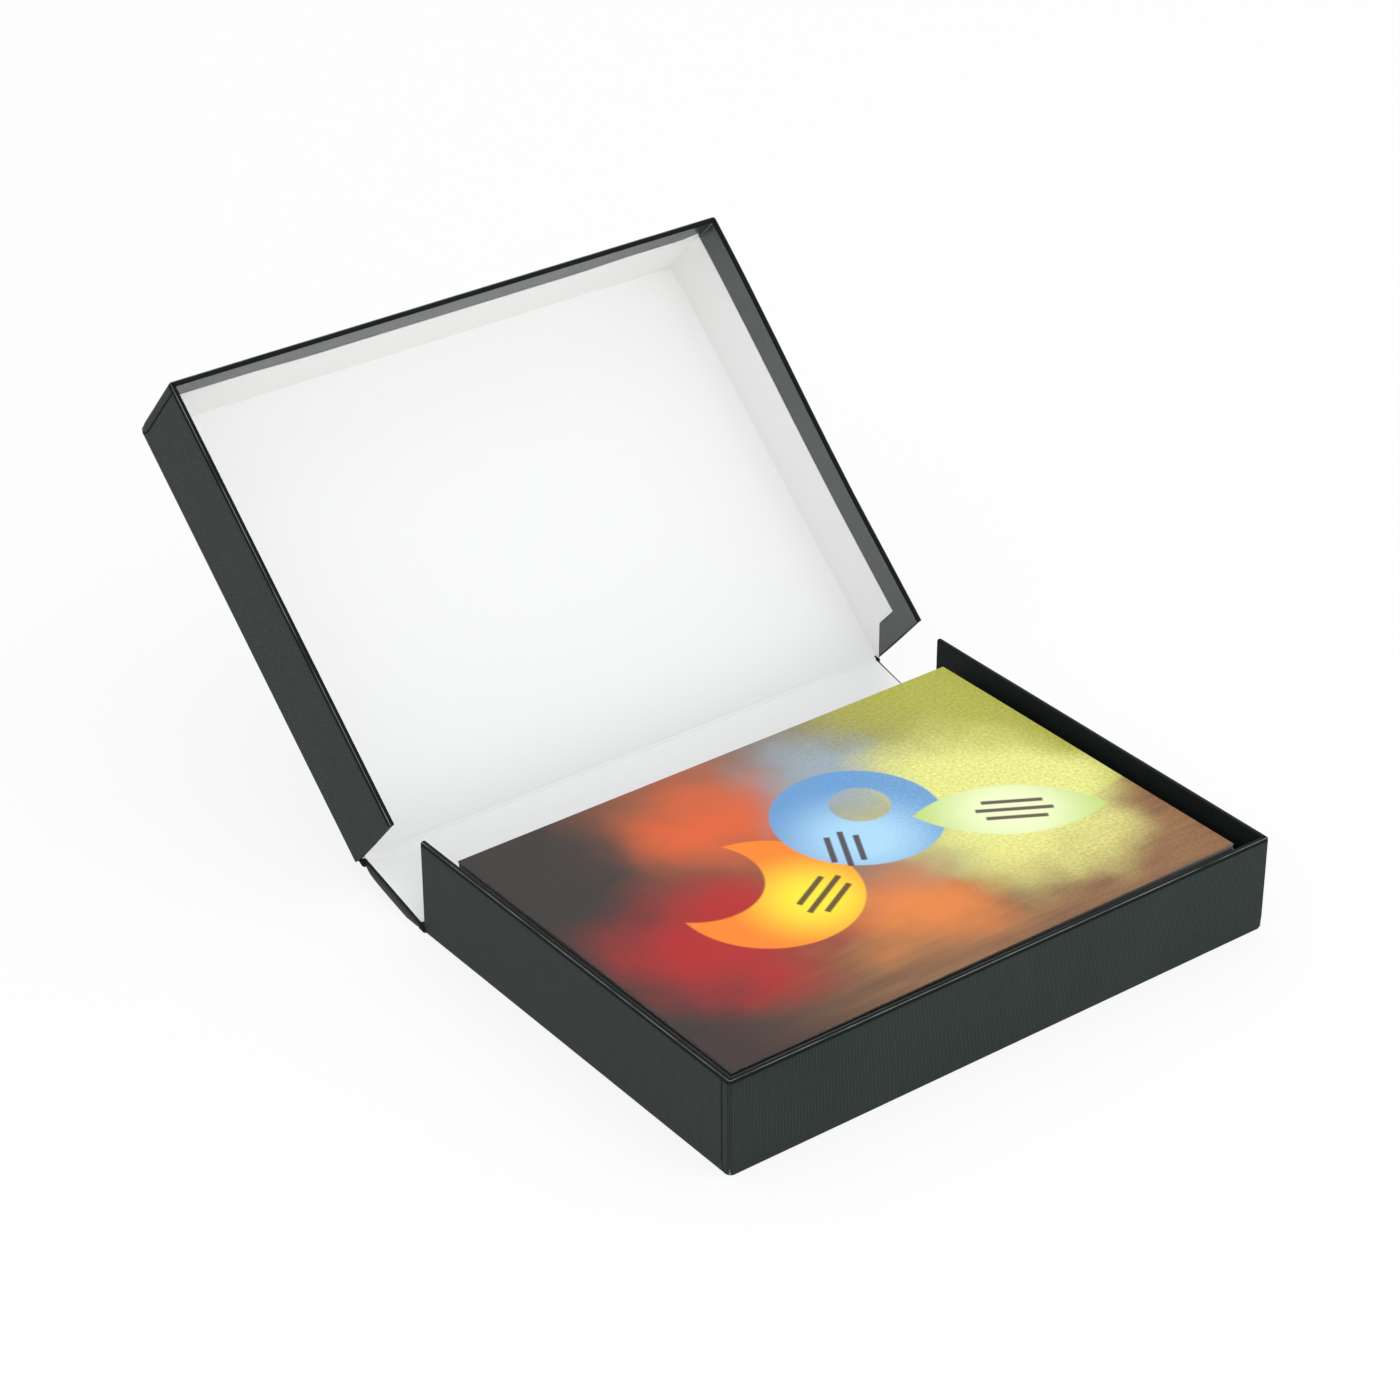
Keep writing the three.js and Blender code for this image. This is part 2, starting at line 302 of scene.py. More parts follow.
def lining_nodes(n):
    place = n.object_place()
    colour = bpy.context.scene.box_colours.lining
    cloud = n.noise(place, 9.0, 3.0)
    fibre = n.noise(place, 1500.0, 3.0, 0.6)
    soft = n.noise(place, 240.0, 2.0)
    warm = opaque([c * f for c, f in zip(colour, (0.975, 0.975, 0.982))])
    shown = n.mix(n.ramp(cloud, 0.35, 0.7), opaque(colour), warm)
    shown = n.mix(n.ramp(fibre, 0.62, 0.86, 0.0, 0.16), shown, (0.62, 0.62, 0.65, 1.0))
    cells = n.add("TexVoronoi", {"Vector": place, "Scale": 17.0}, feature="F1")
    speck = n.ramp(cells.outputs["Distance"], 0.010, 0.018, 0.6, 0.0)
    rare = n.ramp(n.add("SeparateColor", {0: cells.outputs["Color"]}).outputs[0], 0.93, 0.94)
    shown = n.mix(n.times(speck, rare), shown, (0.34, 0.33, 0.32, 1.0))
    # Painted shade along the creases at the lid's hinge
    crease = n.attribute("shade")
    shown = n.mix(n.times(crease, 0.9), shown, (0.30, 0.30, 0.31, 1.0))
    height = n.plus(fibre, n.times(soft, 0.5))
    n.finish(n.bump(height, 0.25, 0.05 * MM), Base_Color=shown,
             Roughness=n.ramp(soft, 0.3, 0.7, 0.74, 0.86), Specular_IOR_Level=0.3)


def board_nodes(n):
    place = n.object_place()
    colour = bpy.context.scene.box_colours.greyboard
    pulp = n.noise(place, 420.0, 4.0, 0.7)
    flecks = n.noise(place, 1700.0, 2.0)
    shown = n.mix(n.ramp(pulp, 0.35, 0.68), opaque([c * 0.72 for c in colour]), opaque(colour))
    shown = n.mix(n.ramp(flecks, 0.66, 0.74), shown, (0.07, 0.065, 0.06, 1.0))
    n.finish(n.bump(pulp, 0.4, 0.1 * MM), Base_Color=shown,
             Roughness=n.ramp(pulp, 0.3, 0.7, 0.86, 0.97))


def stack_nodes(n):
    place = n.object_place()
    colour = bpy.context.scene.box_colours.paper
    layers = n.noise(n.scaled(place, (4.0, 4.0, 2600.0)), 1.0, 2.0)
    fibre = n.noise(place, 1200.0, 3.0)
    # The pile's edges are dark: partly ink at the prints' edges, partly painted shade of the narrow
    # gap they face
    shown = n.mix(n.ramp(layers, 0.36, 0.66), (0.035, 0.028, 0.024, 1.0),
                  opaque([c * 0.36 for c in colour]))
    n.finish(n.bump(fibre, 0.2, 0.03 * MM), Base_Color=shown,
             Roughness=n.ramp(fibre, 0.3, 0.7, 0.7, 0.84))


# The generic picture on the top print: a crescent, a ring and a leaf in soft light, with
# dark stripes. Places in mm from the sheet's front left corner.
PICTURE_EDGE = 0.7  # softness of the shapes' edges, mm
STRIPE_EDGE = 0.6


def disc(n, place, middle, radius):
    return n.ramp(n.distance(place, (*middle, 0.0)), radius + PICTURE_EDGE, radius - PICTURE_EDGE)


def glow(n, place, middle, near, far):
    return n.ramp(n.distance(place, (*middle, 0.0)), far, near)


def bar(n, place, middle, angle, half_length, half_width):
    from_middle = n.vector_math("SUBTRACT", place, (*middle, 0.0)).outputs[0]
    mask = 1.0
    for turn, half in ((angle, half_length), (angle + math.pi / 2, half_width)):
        direction = (math.cos(turn), math.sin(turn), 0.0)
        along = n.vector_math("DOT_PRODUCT", from_middle, direction).outputs["Value"]
        inside = n.ramp(n.math("ABSOLUTE", along), half + STRIPE_EDGE, half - STRIPE_EDGE)
        mask = n.times(mask, inside)
    return mask


def picture_nodes(n):
    place = n.scaled(n.own_uv(), (1000.0, 1000.0, 0.0))
    wander = n.noise(place, 0.016, 3.0)
    parts = n.add("SeparateXYZ", {0: place})
    across, up = parts.outputs[0], parts.outputs[1]
    cloudy = n.add("TexNoise", {"Vector": place, "Scale": 0.014, "Detail": 3.0}).outputs["Color"]
    centred = n.vector_math("SUBTRACT", cloudy, (0.5, 0.5, 0.5)).outputs[0]
    drifting = n.vector_math("ADD", place, n.scaled(centred, (90.0, 90.0, 0.0))).outputs[0]
    swayed = n.plus(across, n.times(n.minus(wander, 0.5), 60.0))

    # Ground, dark brown on the left to olive yellow on the right, boards at the bottom
    back = (0.030, 0.024, 0.020, 1)
    grounds = ((30.0, 130.0, (0.34, 0.10, 0.04, 1)), (110.0, 178.0, (0.24, 0.19, 0.15, 1)),
               (165.0, 270.0, (0.44, 0.44, 0.055, 1)))
    for start, end, colour in grounds:
        back = n.mix(n.ramp(swayed, start, end), back, colour)
    streaks = n.noise(n.scaled(place, (0.012, 0.12, 1.0)), 1.0, 5.0, 0.6)
    wood = n.mix(n.ramp(streaks, 0.2, 0.8), (0.20, 0.085, 0.036, 1), (0.34, 0.17, 0.060, 1))
    wood = n.mix(n.ramp(across, 130.0, 10.0), wood, (0.045, 0.022, 0.019, 1))
    edge = n.plus(up, n.times(across, -0.16))
    back = n.mix(n.ramp(edge, 31.0, 27.0), back, wood)

    # Light thrown on the ground by the shapes
    lights = (
        ((58, 84), 14.0, 74.0, (0.50, 0.006, 0.006, 1)),
        ((112, 172), 4.0, 58.0, (0.82, 0.12, 0.022, 1)),
        ((140, 52), 6.0, 56.0, (0.86, 0.24, 0.040, 1)),
        ((180, 158), 10.0, 58.0, (0.34, 0.42, 0.48, 1)),
        ((236, 92), 34.0, 82.0, (0.86, 0.86, 0.26, 1)),
    )
    for middle, near, far, colour in lights:
        back = n.mix(n.times(glow(n, drifting, middle, near, far), 0.9), back, colour)

    # Yellow crescent
    full = disc(n, place, (98, 100), 45.0)
    bite = disc(n, place, (76, 128), 33.0)
    crescent = n.times(full, n.minus(1.0, bite))
    yellow = n.mix(glow(n, place, (112, 84), 6.0, 44.0), (0.96, 0.24, 0.010, 1), (1.0, 0.82, 0.03, 1))
    back = n.mix(crescent, back, yellow)

    # Light blue ring
    outer = disc(n, place, (172, 126), 42.0)
    hole = disc(n, place, (180, 134), 15.0)
    ring = n.times(outer, n.minus(1.0, hole))
    blue = n.mix(glow(n, place, (162, 110), 8.0, 50.0), (0.13, 0.34, 0.66, 1), (0.42, 0.72, 0.96, 1))
    back = n.mix(n.times(ring, 0.96), back, blue)

    # Pale green leaf, where two discs cross
    leaf = n.times(disc(n, place, (214, 52), 62.0), disc(n, place, (254, 122), 62.0))
    green = n.mix(glow(n, place, (234, 86), 8.0, 54.0), (0.52, 0.70, 0.16, 1), (0.90, 0.98, 0.58, 1))
    back = n.mix(leaf, back, green)

    # Three dark stripes over each shape
    stripes = (((118, 84), 28, 17.0), ((150, 108), 62, 15.0), ((236, 86), -30, 19.0))
    for middle, angle, half_length in stripes:
        turn = math.radians(angle)
        for k in (-1, 0, 1):
            shift = 7.0 * k
            place_k = (middle[0] - shift * math.sin(turn), middle[1] + shift * math.cos(turn))
            mask = bar(n, place, place_k, turn, half_length - 4.0 * abs(k), 1.5)
            back = n.mix(n.times(mask, 0.92), back, (0.050, 0.015, 0.011, 1))

    # Rough plaster on the ground at the right, fine grain of the print all over
    plaster = n.noise(place, 0.55, 4.0, 0.65)
    right = n.ramp(across, 140.0, 230.0)
    rough = n.times(n.minus(plaster, 0.5), n.times(right, 1.1))
    lit = n.plus(1.0, n.times(rough, n.minus(1.0, leaf)))
    grain = n.noise(place, 2.6, 2.0)
    lit = n.times(lit, n.ramp(grain, 0.3, 0.7, 0.95, 1.04, False))
    shown = n.stretched(back, lit)

    # White paper at the cut edges, where the picture's attribute is off
    face = n.attribute("face")
    colour = n.mix(n.ramp(face, 0.4, 0.6), opaque(bpy.context.scene.box_colours.paper), shown)
    n.finish(n.bump(grain, 0.12, 0.03 * MM), Base_Color=colour,
             Roughness=n.ramp(plaster, 0.3, 0.7, 0.42, 0.52), Specular_IOR_Level=0.35)


# Meshes
def new_piece(name, vertices, faces, material, uvs=None, values=None, smooth=True):
    """A piece from its vertices in the shared frame. uvs has one pair per corner of each
    face, values has one list of floats per vertex attribute."""
    mesh = bpy.data.meshes.new(name)
    mesh.from_pydata([tuple(v) for v in vertices], [], faces)
    if uvs is not None:
        layer = mesh.uv_layers.new(name="UVMap")
        layer.data.foreach_set("uv", [c for uv in uvs for c in uv])
    for key, numbers in (values or {}).items():
        attribute = mesh.attributes.new(key, "FLOAT", "POINT")
        attribute.data.foreach_set("value", numbers)
    mesh.materials.append(material)
    mesh.polygons.foreach_set("use_smooth", [smooth] * len(mesh.polygons))
    mesh.update()
    piece = bpy.data.objects.new(name, mesh)
    bpy.context.scene.collection.objects.link(piece)
    return piece


def per_corner(faces, values):
    """Values of the vertices, repeated for each corner of each face"""
    return [values[v] for face in faces for v in face]


def turned_to(piece, face, direction):
    """Flips a sheet if the face of this number looks away from a direction"""
    if piece.data.polygons[face].normal @ direction < 0:
        piece.data.flip_normals()


CRISP_ANGLE = math.radians(55)  # sheets' edges sharper than this are shaded as edges


def thickened(piece, thickness):
    """Gives a sheet its thickness behind its face, and makes the result its mesh"""
    modifier = piece.modifiers.new("thickness", "SOLIDIFY")
    modifier.thickness = thickness
    modifier.offset = -1.0
    modifier.use_even_offset = False
    applied(piece)
    piece.data.set_sharp_from_angle(angle=CRISP_ANGLE)
    return piece


def applied(piece):
    """Makes the evaluated shape the piece's plain mesh and removes its modifiers"""
    graph = bpy.context.evaluated_depsgraph_get()
    mesh = bpy.data.meshes.new_from_object(piece.evaluated_get(graph))
    piece.modifiers.clear()
    old = piece.data
    piece.data = mesh
    mesh.name = piece.name
    bpy.data.meshes.remove(old)
    return piece


def grid_faces(columns, rows):
    """Faces of a grid of columns by rows of vertices, facing columns x rows"""
    faces = []
    for i in range(columns - 1):
        for j in range(rows - 1):
            a, b = i * rows + j, (i + 1) * rows + j
            faces.append((a, b, b + 1, a + 1))
    return faces


def arc_points(middle, radius, start, end, steps):
    """Points of an arc in (inset, height), angles in degrees from +inset towards +height"""
    points = []
    for k in range(steps + 1):
        angle = math.radians(start + (end - start) * k / steps)
        points.append((middle[0] + radius * math.cos(angle), middle[1] + radius * math.sin(angle)))
    return points


def smoothstep(value, low, high):
    t = min(max((value - low) / (high - low), 0.0), 1.0)
    return t * t * (3 - 2 * t)


def spread(start, end, step):
    """Evenly spaced values between two ends, both left out"""
    count = max(int(round(abs(end - start) / step)), 1)
    return [start + (end - start) * k / count for k in range(1, count)]


# Covering cloth of tray and lid: a profile of (inset from the outer face, height), swept round
UNDERSIDE_REACH = 14 * MM
GROOVE_DEPTH = 0.30 * MM
GROOVE_WIDTH = 0.24 * MM
GROOVE_SHADE_WIDTH = 0.36 * MM
GROOVE_BELOW_RIM = 1.5 * MM
SEAM_DEPTH = 0.46 * MM
SEAM_WIDTH = 0.36 * MM
RIM_DROP = 0.10 * MM
RIM_PLEAT = 0.10 * MM  # height of the folded cloth's pleats on the rim's corners
INNER_SHADE = 0.6  # painted shade on the tray's inside faces
CORNER_HEIGHT = 6 * MM  # above this the upright corners keep their shape
SHOULDER_BELOW_RIM = 3.4 * MM  # the wall's even rows end this far below the rounding
BEND_FOOT = 0.05 * MM  # below this the cloth belongs to the underside
GLINT_ANGLE = 120  # place of the painted glint line on the rim's outer rounding, degrees
GLINT_REACH = 0.1 * MM
WALL_STEP = 4.0 * MM
SIDE_STEPS = 64
FRONT_STEPS = 84
END_BULGE = 0.5 * MM
LOW_CORNER_ROUNDING = 1.6 * MM  # more rounding where the corner meets the underside


def wall_profile(height, sizes):
    """Points round a covered wall from the underside over the rim to the foot inside, the kind
    of surface at each, the number of the first outer one, and the height of the groove"""
    outer, inner = sizes.outer_rounding, sizes.inner_rounding
    thick = WALL - sizes.paper_thickness
    shoulder = height - max(outer, inner) - SHOULDER_BELOW_RIM
    foot = [(UNDERSIDE_REACH, 0.0), (8 * MM, 0.0), (4.5 * MM, 0.0), (thick, 0.0), (1.8 * MM, 0.0)]
    bend = arc_points((1.0 * MM, 1.0 * MM), 1.0 * MM, -90, -180, 5)
    heights = [thick] + spread(thick, shoulder, WALL_STEP) + [shoulder]
    groove = height - GROOVE_BELOW_RIM
    face_heights = heights + [groove + d * MM for d in (-0.7, -0.35, -0.15, 0.0, 0.12, 0.25)]
    rim_out = arc_points((outer, height - outer), outer, 180, 90, 6)
    rim_in = arc_points((thick - inner, height - inner), inner, 90, 0, 6)
    outer_face = [(0.0, w) for w in face_heights]
    inner_face = [(thick, w) for w in reversed(face_heights)]
    points = foot + bend + outer_face + rim_out + rim_in + inner_face
    kinds = (["under"] * len(foot) + ["bend"] * len(bend) + ["outer"] * len(outer_face)
             + ["rim"] * (len(rim_out) + len(rim_in)) + ["inner"] * len(inner_face))
    first = len(foot) + len(bend)
    return points, kinds, first, groove


def stations():
    """Stations round the three walls, as (part, value). The value is an angle at a corner, and
    elsewhere a share of the wall's length or a distance from one of its ends."""
    near = [0.0, 0.4, 0.9, 1.6, 2.2, 2.7, 3.0, 3.2, 3.35, 3.5, 3.65, 3.8, 4.0, 4.4, 5.2, 6.6]
    side = [("side", ("share", k / SIDE_STEPS)) for k in range(SIDE_STEPS - 2)]
    side += [("side", ("gap", d * MM)) for d in reversed(near)]
    corner = [("corner", 90 * k / 10) for k in range(1, 10)]
    front_near = [0.0, 0.4, 1.2, 2.4, 4.4]
    front = [("front", ("gap", d * MM)) for d in front_near]
    front += [("front", ("share", k / FRONT_STEPS)) for k in range(2, FRONT_STEPS - 1)]
    front += [("front", ("end", d * MM)) for d in reversed(front_near)]
    back_corner = [("corner2", 90 + 90 * k / 10) for k in range(1, 10)]
    other = [("other", value) for part, value in reversed(side)]
    return side + corner + front + back_corner + other


def station_place(part, value, inset, height, width, depth, rounding):
    """Place across and along, and the outward direction, of a profile point at a station"""
    half = width / 2
    rounding += LOW_CORNER_ROUNDING * (1 - smoothstep(height, 0.0, CORNER_HEIGHT))
    if inset < rounding:
        radius = rounding - inset
    else:
        radius = min(0.25 * MM + (inset - rounding) * 0.4, 0.95 * MM)
    straight = depth - inset - radius
    run = half - inset - radius
    closing = min(max(height / CORNER_HEIGHT, 0.18), 1.0)
    if part in ("side", "other"):
        sign = 1 if part == "side" else -1
        kind, amount = value
        v = amount * straight if kind == "share" else straight - amount * closing
        return sign * (half - inset), v, (sign, 0.0)
    if part == "front":
        kind, amount = value
        if kind == "share":
            u = run - 2 * run * amount
        elif kind == "gap":
            u = run - amount
        else:
            u = -run + amount
        return u, depth - inset, (0.0, 1.0)
    angle = math.radians(value)
    sign = 1 if part == "corner" else -1
    middle = (sign * run, straight)
    direction = (math.cos(angle), math.sin(angle))
    return middle[0] + radius * direction[0], middle[1] + radius * direction[1], direction


def seam_height(part, value, seam):
    """Height and painted shade that the corner seam's valley gives to a station on a side wall"""
    if part not in ("side", "other") or value[0] != "gap":
        return (0.06 * MM, 0.0) if part in ("corner", "corner2") else (0.0, 0.0)
    distance = value[1]
    valley = math.exp(-((distance - seam) / SEAM_WIDTH) ** 2)
    raised = 0.09 * MM * (1 - smoothstep(distance, seam - 0.1 * MM, seam + 0.2 * MM))
    return raised - SEAM_DEPTH * valley, valley


def lean_at(lean, v, w, depth, height):
    """How far the lid's right wall leans out at a place, none near the hinge or the panel"""
    return lean * smoothstep(v, 0.25 * depth, depth) * w / height


def cloth_surface(kind, along, inset, w, groove, seed):
    """Push out of the wall, lift of the rim and painted shade that a place of the profile has, the
    shade darkest in the groove under the rim
    """
    push, lift, shade = 0.0, 0.0, 0.0
    if kind == "outer":
        wave = noise.noise(Vector((along * 22 + seed, w * 40, seed)))
        fine = noise.noise(Vector((along * 70 + seed, w * 90, seed + 7)))
        push = (0.10 * wave + 0.035 * fine) * MM
        push -= GROOVE_DEPTH * math.exp(-((w - groove) / GROOVE_WIDTH) ** 2)
        # painted shade in the groove under the rim
        shade = math.exp(-((w - groove) / GROOVE_SHADE_WIDTH) ** 2)
    elif kind == "rim":
        lift = 0.07 * MM * noise.noise(Vector((along * 45 + seed, 3.1, inset * 300)))
        lift -= RIM_DROP
    elif kind == "inner":
        push = -0.08 * MM * noise.noise(Vector((along * 18 + seed, w * 30, seed + 3)))
    return push, lift, shade


def covered_walls(name, matrix, size, sizes, lean=0.0, seed=0.0, pressed=False):
    """Cloth of tray or lid: underside, walls, rims and turned-in bands, in one closed shell"""
    width, depth, height = size
    points, kinds, first, groove = wall_profile(height, sizes)
    places = stations()
    rows = len(points)
    vertices, shades, rims, painted_glint, flat, run = [], [], [], [], [], []
    outer = sizes.outer_rounding
    # place on the rim's outer rounding where the painted glint runs
    crest = (outer + outer * math.cos(math.radians(GLINT_ANGLE)),
             height - outer + outer * math.sin(math.radians(GLINT_ANGLE)))
    along = 0.0
    last = None
    profile_length = [0.0]
    for a, b in zip(points, points[1:]):
        profile_length.append(profile_length[-1] + math.dist(a, b))
    for part, value in places:
        outside = station_place(part, value, 0.0, height, width, depth, sizes.corner_rounding)
        if last is not None:
            along += math.dist(last[:2], outside[:2])
        last = outside
        run.append(along)
        raised, dark = seam_height(part, value, sizes.seam_place)
        for (inset, w), kind in zip(points, kinds):
            u, v, (du, dv) = station_place(
                part, value, inset, w, width, depth, sizes.corner_rounding)
            push, lift, shade = cloth_surface(kind, along, inset, w, groove, seed)
            # The seam's painted shade lies on the outer face and, weaker, on the rim
            if kind == "outer" or (kind == "bend" and w >= BEND_FOOT):
                push += raised
                shade = max(shade, dark)
            if kind == "rim":
                shade = dark * 0.7
                if part in ("corner", "corner2"):
                    lift += RIM_PLEAT * math.sin(math.radians(value) * 14 + seed)
            # Painted shade on the tray's inside faces; the lid's pressed inside has none
            if kind == "inner" and not pressed:
                shade = INNER_SHADE
            v += dv * push
            u += du * push
            if part in ("side", "other"):
                v = max(v, END_BULGE)
            if lean and u > 0:
                u += lean_at(lean, v, w, depth, height)
            vertices.append(matrix @ Vector((u, v, max(w + lift, 0.0))))
            shades.append(min(shade, 1.0))
            # marks the rim for its painted shade
            rims.append(1.0 if kind == "rim" else 0.0)
            # marks the crest line for its painted glint
            painted_glint.append(1.0 if kind == "rim" and math.dist(crest, (inset, w)) < GLINT_REACH else 0.0)
            flat.append((u, v))
    faces = grid_faces(len(places), rows)

    # Underside between the swept edges
    inner_edge = [i * rows for i in range(len(places))]
    faces.append(tuple(reversed(inner_edge)))

    # Rounded ends of the two side walls
    def end_cap(station, sign):
        base = station * rows
        pairs = [(first + k, rows - 1 - k) for k in range((rows - first) // 2)]
        columns = []
        back = matrix.to_3x3() @ Vector((0, -1, 0))
        for low, high in pairs:
            a, b = Vector(vertices[base + low]), Vector(vertices[base + high])
            row = [base + low]
            gap = (a - b).length
            for t in (0.2, 0.5, 0.8):
                bulge = END_BULGE * (1 - (2 * t - 1) ** 2 * 0.5) * min(1.0, gap / (2.5 * MM))
                bulge *= 0.75 + 0.25 * math.cos(low * 0.4)
                vertices.append(a.lerp(b, t) + back * bulge)
                # painted shade on the rounded ends
                shades.append(0.25)
                rims.append(0.0)
                painted_glint.append(0.0)
                flat.append(flat[base + low])
                row.append(len(vertices) - 1)
            row.append(base + high)
            columns.append(row)
        cap = []
        for lower, upper in zip(columns, columns[1:]):
            for c in range(4):
                quad = (lower[c], lower[c + 1], upper[c + 1], upper[c])
                cap.append(tuple(reversed(quad)) if sign > 0 else quad)
        top = columns[-1]
        crest = [base + r for r in range(pairs[-1][0] + 1, pairs[-1][1])]
        ring = top + list(reversed(crest))
        cap.append(tuple(reversed(ring)) if sign > 0 else tuple(ring))
        foot = [base + r for r in range(3, first + 1)]
        ring = foot + columns[0][1:]
        cap.append(tuple(ring) if sign > 0 else tuple(reversed(ring)))
        return cap

    faces += end_cap(0, 1) + end_cap(len(places) - 1, -1)

    # Path length and profile length in metres, and the plan for what is underneath
    under = {k for k, kind in enumerate(kinds) if kind == "under"}
    uvs = []
    swept = len(places) * rows
    for face in faces:
        planar = any(v >= swept or v % rows in under for v in face)
        for vertex in face:
            if planar:
                uvs.append(flat[vertex])
            else:
                uvs.append((run[vertex // rows], profile_length[vertex % rows]))
    piece = new_piece(name, vertices, faces, cloth_material(), uvs,
                      {"shade": shades, "rim": rims, "painted_glint": painted_glint})
    if pressed:
        piece.data.materials.append(pressed_cloth_material())
        inside = {k for k, kind in enumerate(kinds) if kind == "inner"}
        for polygon in piece.data.polygons:
            if all(v < swept and v % rows in inside for v in polygon.vertices):
                polygon.material_index = 1
    return piece


def as_closed(piece):
    """Turns all faces of a closed mesh outwards"""
    bm = bmesh.new()
    bm.from_mesh(piece.data)
    bmesh.ops.recalc_face_normals(bm, faces=bm.faces)
    bm.to_mesh(piece.data)
    bm.free()
    return piece


# Lining sheets and flaps
def across_sheet(name, path, steps, material, thickness, creases=None):
    """Sheet through the points of a path, (place, half width, up). creases gives the painted
    shade of some of the path's points."""
    vertices, flat, shades = [], [], []
    length = 0.0
    rows = steps + 1
    for k, (place, half, up) in enumerate(path):
        if k:
            length += (place - path[k - 1][0]).length
        for j in range(rows):
            u = half - 2 * half * j / steps
            vertices.append(place + Vector((u, 0, 0)))
            flat.append((u, length))
            shades.append((creases or {}).get(k, 0.0))
    faces = [tuple(reversed(face)) for face in grid_faces(len(path), rows)]
    uvs = per_corner(faces, flat)
    piece = new_piece(name, vertices, faces, material, uvs, {"shade": shades})
    turned_to(piece, 0, path[0][2])
    return thickened(piece, thickness)


def bridged(start, corner, end):
    """Smooth curve of eleven places from a start to an end, bent towards a corner"""
    shares = [k / 10 for k in range(11)]
    return [start.lerp(corner, t).lerp(corner.lerp(end, t), t) for t in shares]


FLAP_STEPS = 6


def wall_flap(name, matrix, outline, place, material, thickness, inward):
    """Flap on a wall: columns of (along, foot, top), set by place(along, height)"""
    rows = FLAP_STEPS + 1
    vertices = []
    for along, foot, top in outline:
        for j in range(rows):
            vertices.append(matrix @ Vector(place(along, foot + (top - foot) * j / FLAP_STEPS)))
    faces = grid_faces(len(outline), rows)
    piece = new_piece(name, vertices, faces, material)
    turned_to(piece, len(faces) // 2, matrix.to_3x3() @ Vector(inward))
    return thickened(piece, thickness)


COLUMN_STEP = 6 * MM
SLOPE_STEPS = 8  # columns in the sloped rear end of a side flap
FLAP_RISE = 1.9 * MM  # how much higher the front flap is cut towards its ends
FLAP_TIP = 2.4 * MM  # height of the tip that the lid's front flap has at its right end
FLAP_CORNER = 3.5 * MM  # width of the front flap's cut corners
SIDE_SHOULDER = 20 * MM  # height at which a side flap steps in beside the rear turn-in
FLAP_FOOT = 1.5 * MM  # height of a side flap's rear end above the panel


def lining_flaps(body, matrix, size, sizes, lean=0.0):
    """The lining's two side flaps and front flap, glued over the turned-in cloth"""
    width, depth, height = size
    paper = made_once("lining_paper", lining_nodes)
    thick = sizes.paper_thickness
    inner = width / 2 - WALL
    foot = WALL - thick
    side_top = height - sizes.side_band
    front_top = height - sizes.front_band
    near_foot = WALL + FLAP_FOOT
    columns = []
    for k in range(SLOPE_STEPS + 1):
        v = sizes.rear_band * k / SLOPE_STEPS
        columns.append((v, foot, near_foot + (SIDE_SHOULDER - near_foot) * k / SLOPE_STEPS))
    end = depth - WALL
    for v in [sizes.rear_band + 0.01 * MM] + spread(sizes.rear_band, end, COLUMN_STEP) + [end]:
        columns.append((v, foot, side_top))
    made = []
    for label, sign in (("right", 1), ("left", -1)):
        lean_here = lean if sign > 0 else 0.0
        if body == "tray":
            label = {"right": "left", "left": "right"}[label]

        def place(v, w, sign=sign, lean_here=lean_here):
            return (sign * inner + lean_at(lean_here, v, w, depth, height), v, w)

        made.append(wall_flap(f"{body}_{label}_flap", matrix, columns, place, paper, thick,
                              (-sign, 0, 0)))

    def top_at(u):
        """The flap is cut a little higher towards its ends, with a small tip on the lid"""
        rise = FLAP_RISE * smoothstep(abs(u), 78 * MM, 118 * MM)
        tip = FLAP_TIP * smoothstep(u, inner - 14 * MM, inner - FLAP_CORNER) if lean else 0.0
        corner = smoothstep(inner - abs(u), 0.0, FLAP_CORNER)
        return side_top + (front_top + rise + tip - side_top) * corner

    across = [inner - k * MM for k in (0.0, 1.2, 2.4, 3.5, 5.0, 7.0, 9.5, 12.0)]
    across += spread(across[-1], -across[-1], COLUMN_STEP) + [-u for u in reversed(across)]
    columns = [(u, foot, top_at(u)) for u in reversed(across)]

    def front_place(u, w):
        shift = lean_at(lean, depth, w, depth, height) * smoothstep(u, 0.0, inner)
        return (u + shift, depth - WALL, w)

    made.append(wall_flap(f"{body}_front_flap", matrix, columns, front_place, paper, thick,
                          (0, -1, 0)))
    for piece in made:
        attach(piece, body)


def at(matrix, v, w):
    return matrix @ Vector((0, v, w))


def up_of(matrix):
    return matrix.to_3x3() @ Vector((0, 0, 1))


class PORTFOLIO_OT_tray_cloth(bpy.types.Operator):
    """Covers the tray in ribbed cloth"""
    bl_idname = "portfolio.tray_cloth"
    bl_label = "Tray cloth"

    def execute(self, context):
        sizes = context.scene.box_sizes
        piece = covered_walls("tray_cloth", TRAY, TRAY_SIZE, sizes, seed=2.0)
        thickened(piece, sizes.cloth_thickness)
        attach(piece, "tray")
        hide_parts("tray_cover")
        return {"FINISHED"}


class PORTFOLIO_OT_lid_cloth(bpy.types.Operator):
    """Covers the lid in ribbed cloth, its right wall leaning out a little"""
    bl_idname = "portfolio.lid_cloth"
    bl_label = "Lid cloth"

    def execute(self, context):
        sizes = context.scene.box_sizes
        piece = covered_walls("lid_cloth", LID, LID_SIZE, sizes, lean=sizes.lid_lean, seed=11.0,
                              pressed=True)
        thickened(piece, sizes.cloth_thickness)
        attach(piece, "lid")
        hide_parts("lid_cover")
        return {"FINISHED"}


